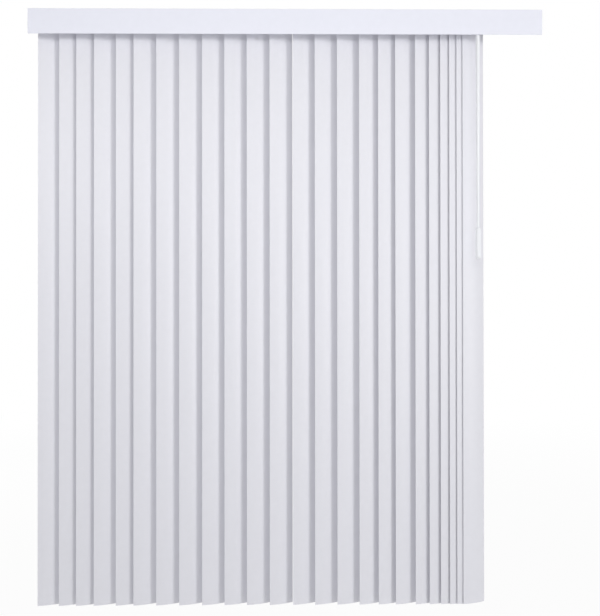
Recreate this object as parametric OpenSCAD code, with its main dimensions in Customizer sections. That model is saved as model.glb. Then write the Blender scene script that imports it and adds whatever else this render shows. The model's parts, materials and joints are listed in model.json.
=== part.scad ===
// Vertical blind with curved vanes, drawn across its window and turned nearly shut.
// Lengths are in millimetres. X runs along the rail, the wall is the plane y = 0,
// the room lies towards -Y and Z is up.
// The origin lies on the wall, in the middle of the outer wall screws.

/* [Blind] */
// Width of the valance
blind_w = 1829; // [1500:1:2100]
// Height from the top of the valance to the foot of the vanes
blind_h = 2134; // [1400:1:2600]
// Room between the turning vanes and the wall
wall_clear = 18; // [10:0.5:40]

/* [Vanes] */
// Straight width from edge to edge
vane_w = 89; // [76:1:98]
// Height of the curve over that width
vane_crown = 5.4; // [3:0.1:7]
// Thickness of the sheet
vane_t = 1; // [0.6:0.1:1.3]
// Turn from the plane of the blind, right edge back
vane_tilt = 22.7; // [20:0.1:90]
// Width of the slot that hangs a vane
slot_w = 10; // [8:0.5:14]
// Height of that slot
slot_h = 4; // [3:0.5:6]
// Middle of that slot below the top edge
slot_drop = 10; // [8:0.5:14]

/* [Rail] */
// Width across the side walls
rail_w = 40; // [38:0.5:50]
// Height from the underside to the roof
rail_h = 28; // [27:0.5:36]
// Thickness of the walls
rail_wall = 1.4; // [1:0.1:1.8]
// Width of the slot underneath
rail_slot = 14; // [12:0.5:17]
// How far each edge of the roof stands out
rail_lip = 2.5; // [2:0.1:4]
// Distance from each end of the blind to the end of the rail
rail_inset = 10; // [9:0.5:20]
// Height of the ribs that the wheels run on
track_h = 1; // [0.6:0.1:1.4]
// Width of those ribs
track_w = 2.2; // [1.6:0.1:2.8]
// Diameter of the tilt rod
rod_d = 4.6; // [4:0.1:5]
// Wall in a carrier between the tilt rod and the pinion
rod_wall = 0.6; // [0.4:0.1:1]
// Depth of the end caps inside the rail
cap_plug = 9; // [6:0.5:12]
// Thickness of the end plates
cap_t = 2; // [1.5:0.1:3]
// Radius of the corners of the end plates
cap_r = 3; // [1:0.5:6]

/* [Carriers] */
// Length along the rail
carrier_l = 12; // [10:0.5:14]
// Wall of a carrier outside the tilt rod
carrier_wall = 1.1; // [0.8:0.1:1.4]
// Diameter of the wheels
wheel_d = 9; // [7:0.5:10]
// Thickness of the wheels
wheel_t = 3; // [2:0.1:3.4]
// Diameter of the axles
axle_d = 3; // [2:0.1:4]
// Diameter of the neck that goes through the rail's slot
neck_d = 9; // [7:0.1:10]
// Diameter of a stem
stem_d = 4.6; // [3.6:0.1:5]
// Diameter of the pinion on top of a stem
pinion_d = 8; // [7:0.1:8.4]
// Height of the pinion
pinion_h = 5; // [3:0.1:5.6]
// Thickness of the spacer links
link_t = 0.4; // [0.3:0.05:0.6]
// Height of the spacer links
link_h = 4.6; // [3:0.1:5.4]
// Thickness of the two legs of a vane clip
leg_t = 1.8; // [1.2:0.1:2.4]
// Width of the long leg of a vane clip
leg_w = 9; // [6:0.1:10]

/* [Valance] */
// Height of the panel
valance_h = 89; // [75:1:110]
// Thickness of the panel
panel_t = 2.4; // [1.8:0.1:3.2]
// How far the top edge stands over the wall brackets
valance_rise = 4; // [2:0.5:10]
// Height over which the foot of the panel curves back
curve_h = 26; // [12:1:40]
// Radius of that curve
curve_r = 130; // [100:1:300]
// Thickness of the clips that carry the panel
clip_t = 2; // [1.6:0.1:2.6]
// Width of those clips
clip_w = 18; // [12:0.5:30]

/* [Wall brackets] */
// Width of a bracket
bracket_w = 28; // [20:0.5:40]
// Thickness of its plate
bracket_t = 2.2; // [1.6:0.1:3]
// Height of its arm over the middle of its screws
bracket_rise = 24; // [20:0.5:30]
// Distance from the lower screw to the foot of its plate
plate_edge = 6; // [4:0.5:10]
// Distance from each end of the rail to the outer brackets
bracket_inset = 150; // [90:1:300]
// Height between the two screws of a bracket
screw_pitch = 24; // [16:0.5:30]
// Diameter of the screw holes
screw_d = 5; // [4:0.1:6]

/* [Wand] */
// Length from its upper pivot to the foot of the grip
wand_l = 835; // [500:1:1200]
// Diameter of the rod where it enters the grip
wand_d = 9; // [7:0.1:11]
// Diameter of the rod at its top, from which it tapers down
wand_top_d = 15; // [12:0.5:16]
// Diameter of the grip
grip_d = 20; // [16:0.5:24]
// Length of the grip
grip_l = 114; // [80:1:150]
// Number of flutes round the grip
flute_count = 6; // [4:1:10]
// Room between the grip and the turning vanes
wand_clear = 3; // [2:0.5:10]
// Room between the top of the rod and the valance
swing_room = 4.8; // [4.5:0.1:10]
// Width of the arm that carries the wand
arm_w = 8; // [6:0.5:9]
// Height of that arm
arm_h = 11; // [8:0.5:14]

/* [Fits] */
// Gap round a part that turns or slides
run_gap = 0.3; // [0.2:0.05:0.4]
// Gap round a part that is only seated
seat_gap = 0.2; // [0.1:0.05:0.3]

/* [Hidden] */
$fn = 64;
fine_fn = 720;
over = 1;
vane_count = 24;

// Places of the vanes along the rail, as shares of its length
place_shares = [
    0.0294, 0.0715, 0.1055, 0.1407, 0.1844, 0.2195, 0.2649, 0.3105,
    0.3563, 0.4008, 0.4455, 0.4911, 0.5374, 0.5816, 0.6262, 0.6703,
    0.7085, 0.7428, 0.7827, 0.8106, 0.8332, 0.8513, 0.8659, 0.8780
];

// Curve of a vane, and the circle that it turns in
vane_r = (vane_w * vane_w / 4 + vane_crown * vane_crown) / (2 * vane_crown);
vane_arc = 2 * asin(vane_w / (2 * vane_r));
turn_r = norm([vane_w / 2, vane_crown]) + vane_t / 2;
axis_y = -(wall_clear + turn_r);

// Levels of the rail
rail_l = blind_w - 2 * rail_inset;
bracket_x = rail_l / 2 - bracket_inset;
rail_top = bracket_rise - bracket_t;
rail_foot = rail_top - rail_h;
flange_z = rail_foot + rail_wall;
track_z = flange_z + track_h;
roof_z = rail_top - rail_wall;
lip_z = roof_z;

// Places along and across the inside of the rail
function place_x(i) = rail_l * place_shares[i] - rail_l / 2;
lead = vane_count - 1;
spacings = [for (i = [0 : lead - 1]) place_x(i + 1) - place_x(i)];
rod_offset = pinion_d / 2 + rod_d / 2 + 2 * run_gap + rod_wall;
carrier_w = 2 * (rod_offset + rod_d / 2 + run_gap + carrier_wall);
wheel_y = carrier_w / 2 + run_gap;
track_y = wheel_y + wheel_t / 2;

// Levels of a carrier: floor, pinion chamber, link window and top
body_lift = 0.2;
body_floor = 2.6;
body_web = 3.2;
body_roof = 2.4;
body_z = track_z + body_lift;
chamber_z = body_z + body_floor;
chamber_h = pinion_h + 2 * run_gap;
pinion_z = chamber_z + run_gap;
rod_z = pinion_z + pinion_h / 2;
window_z = chamber_z + chamber_h + body_web;
window_h = link_h + 2 * run_gap;
body_top = window_z + window_h + body_roof;
wheel_z = track_z + run_gap + wheel_d / 2;
axle_head_t = 0.8;
axle_head_rim = 1;
axle_head_d = axle_d + 2 * axle_head_rim;
neck_out = 1;
neck_z = rail_foot - neck_out;

// Lanes in which the links slide past each other
link_lanes = 8;
lane_gap = 0.45;
lane_pitch = link_t + lane_gap;
window_w = link_lanes * lane_pitch + lane_gap;
link_tip = 3;
link_l = max(spacings) + carrier_l / 2 + link_tip;
function lane_y(i) = (i % link_lanes - (link_lanes - 1) / 2) * lane_pitch;

// Width and depth of the clip at the foot of a stem
clip_room = 0.35;
clip_gap = vane_t / 2 + clip_room;
yoke_side = 0.5;
yoke_w = leg_w + 2 * yoke_side;
yoke_r = norm([yoke_w / 2, clip_gap + leg_t]);

// The longer leading carrier and the arm under it
arm_clear = 3.3;
lead_end = 3;
lead_neck_x = yoke_r + arm_clear + arm_w / 2;
lead_neck_w = 9;
lead_l = carrier_l / 2 + lead_neck_x + arm_w / 2 + lead_end;
lead_wheel_x = lead_l - carrier_l;
arm_gap = 1;
arm_top = rail_foot - arm_gap;
arm_foot = arm_top - arm_h;
boss_d = 13;
wand_shift = 3.4;

// Levels of the vanes
vane_clear = 3.8;
valance_top = bracket_rise + valance_rise;
vane_top = arm_foot - vane_clear;
vane_foot = valance_top - blind_h;
vane_l = vane_top - vane_foot;

// Levels of the clip at the foot of a stem
stem_shoulder = 0.6;
yoke_z = neck_z - stem_shoulder;
yoke_foot = vane_top + seat_gap;
yoke_h = yoke_z - yoke_foot;
slot_z = vane_top - slot_drop;
slot_top = slot_z + slot_h / 2;
nub_side = 2;
nub_w = slot_w - 2 * nub_side;
nub_h = slot_h - 2 * seat_gap;
leg_below = 5;

// Depths of the wand and of the valance in front of the vanes
wand_x = place_x(lead) + wand_shift;
wand_y = axis_y - turn_r - wand_clear - grip_d / 2;
edge_r = panel_t / 2;
curve_mid_r = curve_r - edge_r;
curve_turn = asin((curve_h - edge_r) / curve_mid_r);
foot_back = curve_mid_r * (1 - cos(curve_turn));
panel_back = wand_y - wand_top_d / 2 - swing_room - foot_back;
panel_front = panel_back - panel_t;
valance_foot = valance_top - valance_h;

// Hooks along the back of the panel, and the clips between them
hook_t = 1.5;
hook_edge = 2;
hook_turn = 3.5;
hook_clear = 1.7;
hook_span = valance_top - hook_edge - hook_t - arm_top - hook_clear;
hook_room = clip_t + 2 * seat_gap;
jaw_l = 8;
clip_inset = 70;
clip_place_shares = [-1, -1 / 3, 1 / 3, 1];
bend_r = 2;

// Joints at the top of the wand
pivot_d = 2.8;
tongue_t = 4;
tongue_w = 8;
cheek_t = 2.2;
cheek_w = 9;
cheek_gap = tongue_t / 2 + run_gap;
pivot_drop = 8;
link_rise = 16;
block_t = 2;
upper_pivot_z = arm_foot - pivot_drop;
lower_pivot_z = upper_pivot_z - link_rise;
cheek_reach = link_rise / 2;
tilter_head_d = 9;
tilter_head_t = 2;
wand_foot = upper_pivot_z - wand_l;
straight_l = 20;
rod_flutes = 3;
rod_flute_share = 0.3;

// Grip of the wand
grip_bore_l = 40;
grip_dome = grip_d / 2;
flute_d = 6;
flute_depth = 2.2;
flute_end = 12;

function part_name(kind, i) = str(kind, i < 9 ? "_0" : "_", i + 1);

// Runs a profile, drawn as depth and height, along the rail and centres it there
module along_rail(l) {
    translate([-l / 2, 0, 0])
        rotate([90, 0, 90])
            linear_extrude(l)
                children();
}

// Draws on the left end and on the right end
module both_ends() {
    children();
    mirror([1, 0, 0])
        children();
}

// Centred bar with its foot at zero
module bar(size) {
    translate([-size[0] / 2, -size[1] / 2, 0])
        cube(size);
}

module rail_profile() {
    difference() {
        union() {
            translate([axis_y - rail_w / 2, rail_foot])
                square([rail_w, rail_h]);
            translate([axis_y - rail_w / 2 - rail_lip, roof_z])
                square([rail_w + 2 * rail_lip, rail_wall]);
        }
        translate([axis_y - rail_w / 2 + rail_wall, flange_z])
            square([rail_w - 2 * rail_wall, roof_z - flange_z]);
        translate([axis_y - rail_slot / 2, rail_foot - over])
            square([rail_slot, rail_wall + 2 * over]);
    }
    for (side = [-1, 1])
        translate([axis_y + side * track_y - track_w / 2, flange_z])
            square([track_w, track_h]);
}

module headrail() {
    color([0.90, 0.91, 0.93])
        along_rail(rail_l)
            rail_profile();
}

// Outline of an end plate, with rounded corners
module end_plate_profile() {
    w = rail_w + 2 * rail_lip;
    translate([axis_y - w / 2, rail_foot]) {
        translate([cap_r, 0])
            square([w - 2 * cap_r, rail_h]);
        translate([0, cap_r])
            square([w, rail_h - 2 * cap_r]);
        for (y = [cap_r, w - cap_r], z = [cap_r, rail_h - cap_r])
            translate([y, z])
                circle(cap_r);
    }
}

// Plug, plate and bush at the left end
module end_cap() {
    plug_w = rail_w - 2 * (rail_wall + seat_gap);
    plug_h = roof_z - track_z - 2 * seat_gap;
    difference() {
        union() {
            translate([-rail_l / 2, axis_y - plug_w / 2, track_z + seat_gap])
                cube([cap_plug, plug_w, plug_h]);
            translate([-rail_l / 2 - cap_t, 0, 0])
                rotate([90, 0, 90])
                    linear_extrude(cap_t)
                        end_plate_profile();
        }
        rod_bore(-rail_l / 2, cap_plug + over);
    }
}

// Bore for the tilt rod, from x towards the right
module rod_bore(x, l) {
    translate([x, axis_y + rod_offset, rod_z])
        rotate([0, 90, 0])
            cylinder(h = l, d = rod_d + 2 * run_gap);
}

module rail_end_caps() {
    color([0.92, 0.93, 0.96]) {
        both_ends()
            end_cap();
        anchor_link();
    }
}

// Link that anchors the first carrier to the left end cap
module anchor_link() {
    l = place_x(0) + rail_l / 2 - cap_plug;
    translate([-rail_l / 2 + cap_plug, axis_y + lane_y(link_lanes - 1) - link_t / 2, window_z + run_gap])
        cube([l, link_t, link_h]);
}

module tilt_rod() {
    l = rail_l - 2 * run_gap;
    color([0.72, 0.73, 0.75])
        translate([-l / 2, axis_y + rod_offset, rod_z])
            rotate([0, 90, 0])
                difference() {
                    cylinder(h = l, d = rod_d);
                    for (k = [0 : rod_flutes - 1])
                        rotate(k * 360 / rod_flutes)
                            translate([rod_d / 2, 0, -over])
                                cylinder(h = l + 2 * over, d = rod_d * rod_flute_share);
                }
}

// Side view of a bracket: wall plate, bend, arm and the two hooks round the roof of the rail
module bracket_profile() {
    bend_out = bend_r + bracket_t;
    front_y = axis_y - rail_w / 2 - rail_lip - seat_gap;
    rear_y = axis_y + rail_w / 2 + rail_lip + seat_gap;
    hook_h = rail_wall + 2 * seat_gap + bracket_t;
    plate_foot = -screw_pitch / 2 - plate_edge;
    translate([-bracket_t, plate_foot])
        square([bracket_t, bracket_rise - bend_out - plate_foot]);
    translate([front_y - bracket_t, rail_top + seat_gap])
        square([-front_y + bracket_t - bend_out, bracket_t - seat_gap]);
    intersection() {
        translate([-bend_out, bracket_rise - bend_out])
            difference() {
                circle(bend_out);
                circle(bend_r);
            }
        translate([-bend_out, bracket_rise - bend_out])
            square(bend_out);
    }
    translate([front_y - bracket_t, rail_top + bracket_t - hook_h - seat_gap])
        square([bracket_t, hook_h]);
    translate([front_y - bracket_t, lip_z - seat_gap - bracket_t])
        square([bracket_t + rail_lip, bracket_t]);
    translate([rear_y, rail_top + bracket_t - hook_h - seat_gap])
        square([bracket_t, hook_h]);
    translate([rear_y - rail_lip, lip_z - seat_gap - bracket_t])
        square([bracket_t + rail_lip, bracket_t]);
}

module wall_brackets() {
    color([0.78, 0.79, 0.80])
        for (x = [-bracket_x, 0, bracket_x])
            translate([x, 0, 0])
                difference() {
                    along_rail(bracket_w)
                        bracket_profile();
                    for (side = [-1, 1])
                        translate([0, over, side * screw_pitch / 2])
                            rotate([90, 0, 0])
                                cylinder(h = bracket_t + 2 * over, d = screw_d);
                }
}

// Hook behind the panel, drawn for the upper edge
module panel_hook() {
    square([hook_room + hook_t, hook_t]);
    translate([hook_room, -hook_turn])
        square([hook_t, hook_turn + hook_t]);
}

// Foot of the panel: an arc that starts at the flat sheet and ends in a round edge
module panel_foot() {
    reach = curve_r + over;
    translate([curve_r, 0]) {
        intersection() {
            difference() {
                circle(curve_r, $fn = fine_fn);
                circle(curve_r - panel_t, $fn = fine_fn);
            }
            polygon([[0, 0], [-reach, 0], [-reach, -reach * tan(curve_turn)]]);
        }
        rotate(curve_turn)
            translate([-curve_mid_r, 0])
                circle(edge_r);
    }
}

// Section of the panel: a flat sheet with a curved foot, and two hooks behind it
module panel_profile() {
    flat_foot = valance_foot + curve_h;
    translate([panel_front, flat_foot]) {
        square([panel_t, valance_top - edge_r - flat_foot]);
        panel_foot();
    }
    translate([panel_front + edge_r, valance_top - edge_r])
        circle(edge_r);
    translate([panel_back, valance_top - hook_edge - hook_t])
        panel_hook();
    translate([panel_back, valance_top - hook_edge - hook_span])
        mirror([0, 1])
            panel_hook();
}

module valance_front() {
    color([0.93, 0.94, 0.98])
        along_rail(blind_w)
            panel_profile();
}

// Side view of a clip: a plate between the panel's hooks, an arm and a jaw on the rail's front lip
module clip_profile() {
    plate_top = valance_top - hook_edge - hook_t - seat_gap;
    plate_foot = valance_top - hook_edge - hook_span + seat_gap;
    jaw_y = axis_y - rail_w / 2 - rail_lip - seat_gap;
    arm_z = lip_z - seat_gap - clip_t;
    translate([panel_back + seat_gap, plate_foot])
        square([clip_t, plate_top - plate_foot]);
    translate([panel_back + seat_gap, arm_z])
        square([jaw_y + rail_lip - panel_back - seat_gap, clip_t]);
    translate([jaw_y - clip_t, arm_z])
        square([clip_t, rail_top + seat_gap + clip_t - arm_z]);
    translate([jaw_y - clip_t, rail_top + seat_gap])
        square([clip_t + jaw_l, clip_t]);
}

module valance_clips() {
    color([0.86, 0.88, 0.92])
        for (share = clip_place_shares)
            translate([share * (rail_l / 2 - clip_inset), 0, 0])
                along_rail(clip_w)
                    clip_profile();
}

module wheel() {
    rotate([-90, 0, 0])
        difference() {
            cylinder(h = wheel_t, d = wheel_d);
            translate([0, 0, -over])
                cylinder(h = wheel_t + 2 * over, d = axle_d + 2 * run_gap);
        }
}

module axle() {
    l = run_gap + wheel_t + seat_gap;
    rotate([-90, 0, 0]) {
        translate([0, 0, -over])
            cylinder(h = l + over + axle_head_t, d = axle_d);
        translate([0, 0, l])
            cylinder(h = axle_head_t, d = axle_head_d);
    }
}

// Room inside a carrier for the stem, its pinion, the rod and the links, with the stem at x = 0
module carrier_hollows(l) {
    translate([0, 0, neck_z - over])
        cylinder(h = chamber_z - neck_z + 2 * over, d = stem_d + 2 * run_gap);
    translate([0, 0, chamber_z])
        cylinder(h = chamber_h, d = pinion_d + 2 * run_gap);
    translate([-carrier_l / 2 - over, rod_offset, rod_z])
        rotate([0, 90, 0])
            cylinder(h = l + 2 * over, d = rod_d + 2 * run_gap);
    translate([-carrier_l / 2 - over, -window_w / 2, window_z])
        cube([l + 2 * over, window_w, window_h]);
}

// Strip that runs to the next carrier, held at its root by the carrier's floor and roof
module link(i) {
    translate([0, lane_y(i) - link_t / 2, window_z + run_gap])
        cube([link_l, link_t, link_h]);
    translate([-carrier_l / 2, lane_y(i) - link_t / 2, window_z - seat_gap])
        cube([carrier_l, link_t, window_h + 2 * seat_gap]);
}

// Arm under the leading carrier, with the boss in which the wand's tilter turns
module wand_arm() {
    reach = wand_y - axis_y;
    half_w = arm_w / 2;
    difference() {
        union() {
            translate([lead_neck_x, 0, arm_foot])
                bar([arm_w, lead_neck_w, body_z - arm_foot + over]);
            translate([0, 0, arm_foot])
                linear_extrude(arm_h)
                    polygon([
                        [lead_neck_x - half_w, lead_neck_w / 2],
                        [lead_neck_x + half_w, lead_neck_w / 2],
                        [lead_neck_x + half_w, -lead_neck_w / 2],
                        [wand_shift + half_w, reach],
                        [wand_shift - half_w, reach],
                        [lead_neck_x - half_w, -lead_neck_w / 2]
                    ]);
            translate([wand_shift, reach, arm_foot])
                cylinder(h = arm_h, d = boss_d);
        }
        translate([wand_shift, reach, arm_foot - over])
            cylinder(h = arm_h + 2 * over, d = stem_d + 2 * run_gap);
    }
}

module carrier(i) {
    is_lead = i == lead;
    l = is_lead ? lead_l : carrier_l;
    color([0.95, 0.95, 0.93])
        translate([place_x(i), axis_y, 0]) {
            difference() {
                union() {
                    translate([-carrier_l / 2, -carrier_w / 2, body_z])
                        cube([l, carrier_w, body_top - body_z]);
                    translate([0, 0, neck_z])
                        cylinder(h = body_z - neck_z + over, d = neck_d);
                    for (x = is_lead ? [0, lead_wheel_x] : [0], side = [0, 1])
                        mirror([0, side, 0])
                            translate([x, carrier_w / 2, wheel_z])
                                axle();
                    if (is_lead)
                        wand_arm();
                }
                carrier_hollows(l);
            }
            if (!is_lead)
                link(i);
            for (x = is_lead ? [0, lead_wheel_x] : [0], side = [0, 1])
                mirror([0, side, 0])
                    translate([x, wheel_y, wheel_z])
                        wheel();
        }
}

// Sheet on an arc, with its crown on the turning axis and a slot near its top edge
module blade() {
    difference() {
        translate([0, vane_r, vane_foot])
            rotate(-90 - vane_arc / 2)
                rotate_extrude(angle = vane_arc, $fn = fine_fn)
                    translate([vane_r - vane_t / 2, 0])
                        square([vane_t, vane_l]);
        translate([0, 0, slot_z - slot_h / 2])
            bar([slot_w - slot_h, vane_t + 2 * over, slot_h]);
        for (side = [-1, 1])
            translate([side * (slot_w - slot_h) / 2, vane_t / 2 + over, slot_z])
                rotate([90, 0, 0])
                    cylinder(h = vane_t + 2 * over, d = slot_h);
    }
}

// Pinion, shaft and clip: a long leg behind the vane, a hook leg in front and a nub through the slot
module stem() {
    legs_top = yoke_foot + over;
    long_foot = slot_z - slot_h / 2 - leg_below;
    hook_foot = slot_z - slot_h / 2 - seat_gap;
    translate([0, 0, pinion_z])
        cylinder(h = pinion_h, d = pinion_d);
    translate([0, 0, yoke_z - over])
        cylinder(h = pinion_z - yoke_z + 2 * over, d = stem_d);
    translate([0, 0, yoke_foot])
        bar([yoke_w, 2 * (clip_gap + leg_t), yoke_h]);
    translate([-leg_w / 2, clip_gap, long_foot])
        cube([leg_w, leg_t, legs_top - long_foot]);
    translate([-nub_w / 2, -clip_gap - leg_t, hook_foot])
        cube([nub_w, leg_t, legs_top - hook_foot]);
    translate([-nub_w / 2, -clip_gap - over, slot_top - seat_gap - nub_h])
        cube([nub_w, clip_gap + over + vane_t / 2, nub_h]);
}

module vane(i) {
    color([0.93, 0.94, 0.98])
        translate([place_x(i), axis_y, 0])
            rotate(vane_tilt) {
                blade();
                stem();
            }
}

// Tongue with a cross bore, on a pivot along X at the origin
module tongue(up) {
    rotate([0, 90, 0])
        translate([0, 0, -tongue_t / 2])
            difference() {
                union() {
                    cylinder(h = tongue_t, d = tongue_w);
                    translate([-up, -tongue_w / 2, 0])
                        cube([up, tongue_w, tongue_t]);
                }
                translate([0, 0, -over])
                    cylinder(h = tongue_t + 2 * over, d = pivot_d + 2 * run_gap);
            }
}

// Pair of cheeks with a pin, on a pivot along X at the origin, joined by a block below
module clevis(down) {
    for (side = [0, 1])
        mirror([side, 0, 0])
            translate([cheek_gap, 0, 0])
                rotate([0, 90, 0]) {
                    cylinder(h = cheek_t, d = cheek_w);
                    translate([0, -cheek_w / 2, 0])
                        cube([down, cheek_w, cheek_t]);
                }
    translate([-cheek_gap - over, 0, 0])
        rotate([0, 90, 0])
            cylinder(h = 2 * (cheek_gap + over), d = pivot_d);
    translate([0, 0, -down])
        bar([2 * (cheek_gap + cheek_t), cheek_w, block_t]);
}

module wand_tilter() {
    color([0.88, 0.90, 0.93])
        translate([wand_x, wand_y, 0]) {
            translate([0, 0, arm_top + run_gap])
                cylinder(h = tilter_head_t, d = tilter_head_d);
            translate([0, 0, arm_foot - run_gap - over])
                cylinder(h = arm_h + 2 * (run_gap + over), d = stem_d);
            translate([0, 0, upper_pivot_z])
                tongue(pivot_drop - run_gap);
        }
}

module wand_link() {
    color([0.88, 0.90, 0.93])
        translate([wand_x, wand_y, upper_pivot_z]) {
            clevis(cheek_reach + block_t);
            translate([0, 0, -link_rise])
                rotate(90)
                    tongue(link_rise - cheek_reach - block_t + over);
        }
}

module wand_rod() {
    rod_top = lower_pivot_z - cheek_reach;
    rod_foot = wand_foot + grip_l - grip_bore_l;
    taper_top = rod_top - block_t;
    taper_foot = wand_foot + grip_l + straight_l;
    color([0.94, 0.95, 0.97])
        translate([wand_x, wand_y, 0]) {
            translate([0, 0, lower_pivot_z])
                rotate(90)
                    clevis(cheek_reach + block_t);
            translate([0, 0, rod_foot])
                cylinder(h = rod_top - rod_foot - over, d = wand_d);
            translate([0, 0, taper_foot])
                cylinder(h = taper_top - taper_foot, d1 = wand_d, d2 = wand_top_d);
        }
}

module wand_grip() {
    color([0.92, 0.93, 0.97])
        translate([wand_x, wand_y, wand_foot])
            difference() {
                union() {
                    translate([0, 0, grip_dome])
                        cylinder(h = grip_l - 2 * grip_dome, d = grip_d);
                    for (z = [grip_dome, grip_l - grip_dome])
                        translate([0, 0, z])
                            sphere(d = grip_d);
                }
                translate([0, 0, grip_l - grip_bore_l - seat_gap])
                    cylinder(h = grip_bore_l + seat_gap + over, d = wand_d + 2 * seat_gap);
                for (k = [0 : flute_count - 1])
                    rotate(k * 360 / flute_count - 90)
                        translate([grip_d / 2 + flute_d / 2 - flute_depth, 0, flute_end]) {
                            cylinder(h = grip_l - 2 * flute_end, d = flute_d);
                            sphere(d = flute_d);
                            translate([0, 0, grip_l - 2 * flute_end])
                                sphere(d = flute_d);
                        }
            }
}

headrail();
rail_end_caps();
tilt_rod();
wall_brackets();
valance_front();
valance_clips();
wand_tilter();
wand_link();
wand_rod();
wand_grip();
for (i = [0 : lead])
    carrier(i);
for (i = [0 : lead])
    vane(i);
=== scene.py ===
"""Vertical blind: finishes, softened edges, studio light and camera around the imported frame."""
import json
import math

import bmesh
import bpy
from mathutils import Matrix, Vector


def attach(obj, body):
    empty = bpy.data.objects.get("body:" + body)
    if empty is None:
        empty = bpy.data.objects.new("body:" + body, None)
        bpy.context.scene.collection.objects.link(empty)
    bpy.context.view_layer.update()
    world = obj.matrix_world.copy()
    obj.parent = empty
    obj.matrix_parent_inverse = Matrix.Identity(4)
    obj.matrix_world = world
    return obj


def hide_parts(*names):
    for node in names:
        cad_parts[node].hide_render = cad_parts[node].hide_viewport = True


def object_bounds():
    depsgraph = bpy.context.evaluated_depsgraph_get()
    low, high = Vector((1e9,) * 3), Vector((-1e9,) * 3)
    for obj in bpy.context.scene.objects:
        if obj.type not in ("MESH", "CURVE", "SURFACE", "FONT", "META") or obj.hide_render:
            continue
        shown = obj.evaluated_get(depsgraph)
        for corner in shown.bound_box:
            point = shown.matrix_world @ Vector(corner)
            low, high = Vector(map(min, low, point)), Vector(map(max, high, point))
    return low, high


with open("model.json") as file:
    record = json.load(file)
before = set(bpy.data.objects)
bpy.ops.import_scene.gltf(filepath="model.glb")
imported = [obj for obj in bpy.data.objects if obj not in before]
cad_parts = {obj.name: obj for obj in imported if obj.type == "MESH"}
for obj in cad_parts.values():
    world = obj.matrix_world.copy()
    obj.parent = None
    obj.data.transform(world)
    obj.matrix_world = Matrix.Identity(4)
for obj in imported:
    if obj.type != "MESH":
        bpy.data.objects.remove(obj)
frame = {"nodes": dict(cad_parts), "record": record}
cad_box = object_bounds()

MM = 0.001
NODES = frame["nodes"]
BODY_OF = {node: body for body, nodes in frame["record"]["behaviour"]["bodies"].items() for node in nodes}
VANES = sorted(name for name in NODES if name.startswith("vane_"))
CARRIERS = sorted(name for name in NODES if name.startswith("carrier_"))

# Colours as they look under plain white light, linear
VANE_WHITE = (0.795, 0.795, 0.847)
VALANCE_WHITE = (0.868, 0.878, 0.966)
RAIL_WHITE = (0.790, 0.800, 0.830)
CAP_WHITE = (0.770, 0.780, 0.815)
ACETAL = (0.820, 0.815, 0.770)
NYLON = (0.700, 0.695, 0.660)
MILKY = (0.740, 0.770, 0.810)
WAND_WHITE = (0.915, 0.935, 0.995)
ZINC = (0.560, 0.575, 0.590)
DRAWN_ALLOY = (0.620, 0.630, 0.645)
FLOOR_PALE = (0.80, 0.80, 0.80, 1)
PURE_WHITE = (1, 1, 1, 1)


class Signal:
    """A node's output that works in sums and products, so that shader maths reads as maths."""

    def __init__(self, tree, socket=None):
        self.tree = tree
        self.socket = socket

    def node(self, kind, settings=None, inputs=None, output=0):
        """Adds a node, applies its settings, fills its sockets and gives one of its outputs."""
        made = self.tree.nodes.new(kind)
        for key, value in (settings or {}).items():
            setattr(made, key, value)
        for key, value in (inputs or {}).items():
            if isinstance(value, Signal):
                self.tree.links.new(value.socket, made.inputs[key])
            else:
                made.inputs[key].default_value = value
        return Signal(self.tree, made.outputs[output] if made.outputs else None)

    def maths(self, operation, first, second):
        return self.node("ShaderNodeMath", {"operation": operation}, {0: first, 1: second})

    def __add__(self, other):
        return self.maths("ADD", self, other)

    def __radd__(self, other):
        return self.maths("ADD", other, self)

    def __sub__(self, other):
        return self.maths("SUBTRACT", self, other)

    def __rsub__(self, other):
        return self.maths("SUBTRACT", other, self)

    def __mul__(self, other):
        return self.maths("MULTIPLY", self, other)

    def __rmul__(self, other):
        return self.maths("MULTIPLY", other, self)


def new_tree(owner):
    """The emptied node tree of a material or world, as a signal that nodes can be added from."""
    owner.use_nodes = True
    owner.node_tree.nodes.clear()
    return Signal(owner.node_tree)


# Surface detail of all finishes: the noises' scales and details, and their shares in tone, gloss and relief
NOISE_MIDDLE = 0.5
LINE_DETAIL = 3.0
PLAIN_DETAIL = 1.0
DRIFT_SCALES = (9, 9, 9)
SPECK_SCALES = (1400, 1400, 1400)
LINES_IN_TONE = 0.35
LINES_IN_GLOSS = 0.10
DRIFT_IN_GLOSS = 0.06
SPECKS_IN_RELIEF = 0.4
RELIEF_DEPTH = 0.05 * MM

# Places of the two colours and of the result among the sockets of a Mix node
MIX_FIRST = 6
MIX_SECOND = 7
MIX_RESULT = 2


def noise(tree, scales, detail):
    """Noise from -0.5 to 0.5 that stays with the piece, with its own scale along each axis."""
    place = tree.node("ShaderNodeTexCoord", output="Object")
    scaled = tree.node("ShaderNodeVectorMath", {"operation": "MULTIPLY"}, {0: place, 1: scales})
    return tree.node("ShaderNodeTexNoise", inputs={"Vector": scaled, "Detail": detail}) - NOISE_MIDDLE


def tinted(tree, colour, other, amount):
    """One colour going over to another where the amount rises from 0 to 1."""
    return tree.node(
        "ShaderNodeMix",
        {"data_type": "RGBA"},
        {"Factor": amount, MIX_FIRST: (*colour, 1), MIX_SECOND: (*other, 1)},
        output=MIX_RESULT,
    )


def shade_of(colour, factor):
    """A colour made darker or lighter, up to full white."""
    return tuple(min(channel * factor, 1.0) for channel in colour)


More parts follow.
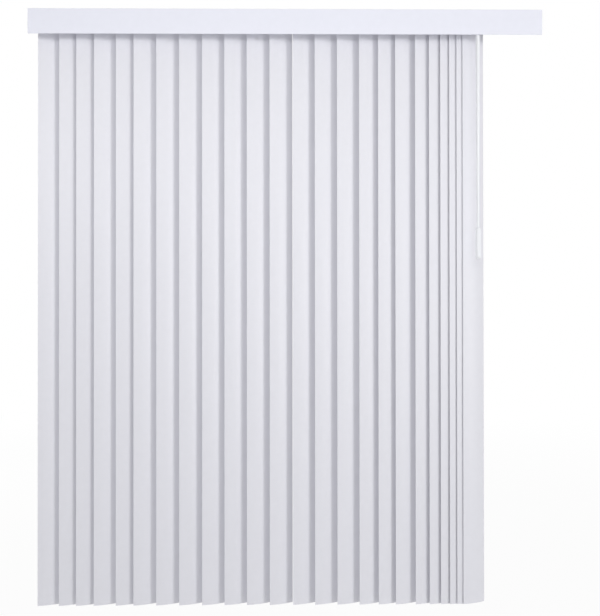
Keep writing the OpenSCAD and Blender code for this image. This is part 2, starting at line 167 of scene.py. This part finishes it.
def finish(name, colour, roughness, grain, mottle=0.03, bump=0.15, metallic=0.0, **constants):
    """A moulded, drawn or painted surface: fine lines in the relief and the gloss, and a slow drift of tone.

    grain gives the noise that makes its lines a scale along each axis.
    """
    material = bpy.data.materials.new(name)
    tree = new_tree(material)
    lines = noise(tree, grain, LINE_DETAIL)
    drift = noise(tree, DRIFT_SCALES, PLAIN_DETAIL)
    speck = noise(tree, SPECK_SCALES, PLAIN_DETAIL)
    amount = drift + LINES_IN_TONE * lines + NOISE_MIDDLE
    relief = tree.node(
        "ShaderNodeBump",
        inputs={"Strength": bump, "Distance": RELIEF_DEPTH, "Height": lines + SPECKS_IN_RELIEF * speck},
    )
    inputs = {
        "Base Color": tinted(tree, shade_of(colour, 1 - mottle), shade_of(colour, 1 + mottle), amount),
        "Roughness": roughness + LINES_IN_GLOSS * lines + DRIFT_IN_GLOSS * drift,
        "Metallic": metallic,
        "Normal": relief,
    }
    inputs.update({key.replace("_", " "): value for key, value in constants.items()})
    shader = tree.node("ShaderNodeBsdfPrincipled", inputs=inputs)
    tree.node("ShaderNodeOutputMaterial", inputs={"Surface": shader})
    return material


# Finishes: lines run along Z on the hanging pieces and along X on the rail, the rod and the valance
ALONG_Z = (900, 900, 3)
ALONG_X = (3, 900, 900)
EVEN = (500, 500, 500)
ROLLED = (60, 900, 60)
GLOW = {"Subsurface_Weight": 0.5, "Subsurface_Radius": (1, 1, 1), "Subsurface_Scale": 3 * MM}
SHEET = {"mottle": 0.015}
POLISHED = {"mottle": 0.01, "bump": 0.06}
vane_vinyl = finish("vane_vinyl", VANE_WHITE, roughness=0.42, grain=ALONG_Z, **SHEET)
valance_vinyl = finish("valance_vinyl", VALANCE_WHITE, roughness=0.60, grain=ALONG_X, **SHEET)
rail_paint = finish("rail_paint", RAIL_WHITE, roughness=0.32, grain=ALONG_X, **SHEET)
cap_plastic = finish("cap_plastic", CAP_WHITE, roughness=0.45, grain=EVEN)
carrier_acetal = finish("carrier_acetal", ACETAL, roughness=0.38, grain=EVEN)
wheel_nylon = finish("wheel_nylon", NYLON, roughness=0.34, grain=EVEN)
stem_plastic = finish("stem_plastic", MILKY, roughness=0.30, grain=EVEN)
clip_plastic = finish("clip_plastic", MILKY, roughness=0.28, grain=EVEN)
joint_plastic = finish("joint_plastic", MILKY, roughness=0.25, grain=EVEN)
wand_plastic = finish("wand_plastic", WAND_WHITE, roughness=0.30, grain=ALONG_Z, **POLISHED, **GLOW)
grip_plastic = finish("grip_plastic", WAND_WHITE, roughness=0.30, grain=EVEN, **POLISHED, **GLOW)
bracket_zinc = finish("bracket_zinc", ZINC, roughness=0.36, grain=ROLLED, mottle=0.10, bump=0.25, metallic=1.0)
rod_alloy = finish("rod_alloy", DRAWN_ALLOY, roughness=0.30, grain=ALONG_X, mottle=0.06, bump=0.25, metallic=1.0)

# Meshes: what counts as a seam, as flat, as sharp and as nothing, and how an edge is rounded
SEAM_GAP = 0.001 * MM
FLAT_ANGLE = math.radians(0.3)
SHARP_ANGLE = math.radians(35)
ROUNDING_STEPS = 2
ROUND_PROFILE = 0.5
MEETING_GAP = 0.002 * MM
NO_LENGTH = 0.001 * MM


def welded(node):
    """A CAD node's mesh with its seams closed and its flat faces whole."""
    shape = bmesh.new()
    shape.from_mesh(NODES[node].data)
    bmesh.ops.remove_doubles(shape, verts=shape.verts, dist=SEAM_GAP)
    bmesh.ops.dissolve_limit(
        shape, angle_limit=FLAT_ANGLE, use_dissolve_boundaries=False, verts=shape.verts, edges=shape.edges
    )
    return shape


def height_of(verts):
    levels = [vert.co.z for vert in verts]
    return max(levels) - min(levels)


def solids_of(node):
    """The separate solids of a CAD node, the tallest first."""
    whole = welded(node)
    whole.verts.index_update()
    found = set()
    solids = []
    for start in whole.verts:
        if start in found:
            continue
        found.add(start)
        members = [start]
        to_visit = [start]
        while to_visit:
            vert = to_visit.pop()
            for edge in vert.link_edges:
                other = edge.other_vert(vert)
                if other not in found:
                    found.add(other)
                    members.append(other)
                    to_visit.append(other)
        solids.append(members)
    result = []
    for members in sorted(solids, key=height_of, reverse=True):
        part = whole.copy()
        part.verts.ensure_lookup_table()
        keep = {vert.index for vert in members}
        bmesh.ops.delete(part, geom=[v for v in part.verts if v.index not in keep], context="VERTS")
        result.append(part)
    whole.free()
    return result


def softened(shape, width):
    """Rounds the sharp edges of a mesh, as moulding, folding and deburring do, and leaves it closed."""
    edges = [e for e in shape.edges if e.is_manifold and e.calc_face_angle(0) > SHARP_ANGLE]
    bmesh.ops.bevel(
        shape,
        geom=edges,
        offset=width,
        segments=ROUNDING_STEPS,
        profile=ROUND_PROFILE,
        affect="EDGES",
        clamp_overlap=True,
    )
    bmesh.ops.remove_doubles(shape, verts=shape.verts, dist=MEETING_GAP)
    bmesh.ops.dissolve_degenerate(shape, dist=NO_LENGTH, edges=shape.edges)
    return shape


def piece(name, shape, node, material):
    """A finished piece that stands for a CAD node and moves with its body."""
    mesh = bpy.data.meshes.new(name)
    shape.to_mesh(mesh)
    shape.free()
    mesh.shade_smooth()
    made = bpy.data.objects.new(name, mesh)
    bpy.context.scene.collection.objects.link(made)
    made.data.materials.append(material)
    normals = made.modifiers.new("flat_faces_stay_flat", "WEIGHTED_NORMAL")
    normals.keep_sharp = True
    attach(made, BODY_OF[node])
    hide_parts(node)


def refinish(node, material):
    """Gives a CAD node that stays as it is its finish."""
    slots = NODES[node].data.materials
    slots.clear()
    slots.append(material)


# Vanes: the vinyl strip and the moulded stem that it hangs from
STRIP_EDGE = 0.3 * MM
STEM_EDGE = 0.25 * MM
for name in VANES:
    strip, stem = solids_of(name)
    number = name[-2:]
    piece(f"strip_{number}", softened(strip, STRIP_EDGE), name, vane_vinyl)
    piece(f"stem_{number}", softened(stem, STEM_EDGE), name, stem_plastic)

# Pieces that keep the CAD form with softened edges: node, width of its edges, finish, slot
SOFT_EDGES = [
    ("headrail", 0.4 * MM, rail_paint, "rail_paint"),
    ("rail_end_caps", 0.5 * MM, cap_plastic, "cap_moulding"),
    ("wall_brackets", 0.4 * MM, bracket_zinc, "bracket_steel"),
    ("valance_front", 0.3 * MM, valance_vinyl, "valance_sheet"),
    ("valance_clips", 0.4 * MM, clip_plastic, "clip_moulding"),
    ("wand_tilter", 0.3 * MM, joint_plastic, "wand_joint_moulding"),
    ("wand_link", 0.3 * MM, joint_plastic, "wand_joint_moulding"),
    ("wand_rod", 0.3 * MM, wand_plastic, "wand_rod"),
    ("wand_grip", 0.3 * MM, grip_plastic, "wand_grip"),
]
for name, width, material, slot in SOFT_EDGES:
    piece(f"{name}_finished", softened(welded(name), width), name, material)

# Carriers: the moulded body with its spacer link, and the wheels on its axles
BODY_EDGE = 0.25 * MM
WHEEL_EDGE = 0.3 * MM
for name in CARRIERS:
    body, *wheels = solids_of(name)
    number = name[-2:]
    piece(f"body_{number}", softened(body, BODY_EDGE), name, carrier_acetal)
    for place, wheel in enumerate(wheels, 1):
        piece(f"wheel_{number}_{place}", softened(wheel, WHEEL_EDGE), name, wheel_nylon)

refinish("tilt_rod", rod_alloy)

# Floor: pale paper a little below the blind's foot, shown almost white, with a faint shadow near the blind
FLOOR_DROP = 0.22
FLOOR_HALF = 60.0
FLOOR_CORNERS = ((-1, -1), (1, -1), (1, 1), (-1, 1))
FLOOR_SHADOW_SHARE = 0.06
FLOOR_FADE_START = 2.0
FLOOR_FADE_END = 9.0
SHOWN_WHITE = 1.0
SHOWN_RAYS = ("Is Camera Ray", "Is Glossy Ray", "Is Transmission Ray")


def seen_directly(tree):
    """1 for rays from the camera and for those that a gloss or clear surface sends on, else 0."""
    path = {name: tree.node("ShaderNodeLightPath", output=name) for name in SHOWN_RAYS}
    total = path[SHOWN_RAYS[0]]
    for name in SHOWN_RAYS[1:]:
        total = total.maths("MAXIMUM", total, path[name])
    return total


floor_z = cad_box[0][2] - FLOOR_DROP
floor_mesh = bpy.data.meshes.new("floor")
floor_mesh.from_pydata([(x * FLOOR_HALF, y * FLOOR_HALF, floor_z) for x, y in FLOOR_CORNERS], [], [(0, 1, 2, 3)])
floor = bpy.data.objects.new("floor", floor_mesh)
bpy.context.scene.collection.objects.link(floor)
floor_paper = bpy.data.materials.new("floor_paper")
tree = new_tree(floor_paper)
lit = tree.node("ShaderNodeBsdfDiffuse", inputs={"Color": FLOOR_PALE})
white = tree.node("ShaderNodeEmission", inputs={"Color": PURE_WHITE, "Strength": SHOWN_WHITE})
place = tree.node("ShaderNodeTexCoord", output="Object")
from_blind = tree.node("ShaderNodeVectorMath", {"operation": "LENGTH"}, {0: place}, output="Value")
near = tree.node(
    "ShaderNodeMapRange",
    {"interpolation_type": "SMOOTHSTEP"},
    {
        "Value": from_blind,
        "From Min": FLOOR_FADE_START,
        "From Max": FLOOR_FADE_END,
        "To Min": FLOOR_SHADOW_SHARE,
        "To Max": 0.0,
    },
)
paper = tree.node("ShaderNodeMixShader", inputs={0: seen_directly(tree) * (1 - near), 1: lit, 2: white})
tree.node("ShaderNodeOutputMaterial", inputs={"Surface": paper})
floor_mesh.materials.append(floor_paper)

# Studio light: a pale surround, a wide strip in front, a tall box to the right and one behind
AMBIENT = 0.495
# Each box: turn to the right in degrees, distance, level above the wall screws, width, height, share of white
SOFT_BOXES = {
    "front_box": (-5, 2.1, -0.1, 3.2, 0.4, 0.33),
    "right_box": (47, 9.0, -0.6, 2.6, 3.9, 0.28),
    "back_box": (-145, 5.0, 0.6, 2.4, 2.4, 0.20),
}
middle = Vector([(low + high) / 2 for low, high in zip(*cad_box)])


def soft_box(name, turn, distance, rise, width, height, share):
    """A flat lamp that alone would light a white wall facing it at the blind to that share of white."""
    lamp = bpy.data.lights.new(name, "AREA")
    lamp.shape = "RECTANGLE"
    lamp.size, lamp.size_y = width, height
    angle = math.radians(turn)
    place = Vector((distance * math.sin(angle), -distance * math.cos(angle), rise))
    aim = middle - place
    lamp.energy = math.pi ** 2 * aim.length_squared * share
    made = bpy.data.objects.new(name, lamp)
    made.location = place
    made.rotation_euler = aim.to_track_quat("-Z", "Y").to_euler()
    bpy.context.scene.collection.objects.link(made)


for name, settings in SOFT_BOXES.items():
    soft_box(name, *settings)

# The right box throws no shadow of the wand on the vanes, as in the photograph
passed = bpy.data.collections.new("wand_that_the_right_box_passes")
for name in ("wand_rod_finished", "wand_grip_finished"):
    passed.objects.link(bpy.data.objects[name])
for member in passed.collection_objects:
    member.light_linking.link_state = "EXCLUDE"
bpy.data.objects["right_box"].light_linking.blocker_collection = passed

world = bpy.data.worlds.new("studio")
bpy.context.scene.world = world
tree = new_tree(world)
surround = tree.node("ShaderNodeBackground", inputs={"Color": PURE_WHITE, "Strength": AMBIENT})
backdrop = tree.node("ShaderNodeBackground", inputs={"Color": PURE_WHITE, "Strength": SHOWN_WHITE})
mixed = tree.node("ShaderNodeMixShader", inputs={0: seen_directly(tree), 1: surround, 2: backdrop})
tree.node("ShaderNodeOutputWorld", inputs={"Surface": mixed})

# Camera at the photograph's place, level with the middle of the blind and turned a little to the right, in degrees
IMAGE_WIDTH = 600
FOCAL_PIXELS = 910
CAMERA_PLACE = (0.011, -3.366, -1.0556)
CAMERA_LEVEL = 90
CAMERA_PITCH = 0.361
CAMERA_ROLL = 0.052
CAMERA_YAW = -0.686
camera = bpy.data.cameras.new("camera")
camera.sensor_fit = "HORIZONTAL"
camera.lens = FOCAL_PIXELS / IMAGE_WIDTH * camera.sensor_width
viewer = bpy.data.objects.new("camera", camera)
viewer.location = CAMERA_PLACE
viewer.rotation_euler = [math.radians(angle) for angle in (CAMERA_LEVEL + CAMERA_PITCH, CAMERA_ROLL, CAMERA_YAW)]
bpy.context.scene.collection.objects.link(viewer)
bpy.context.scene.camera = viewer
bpy.context.scene.view_settings.view_transform = "Standard"
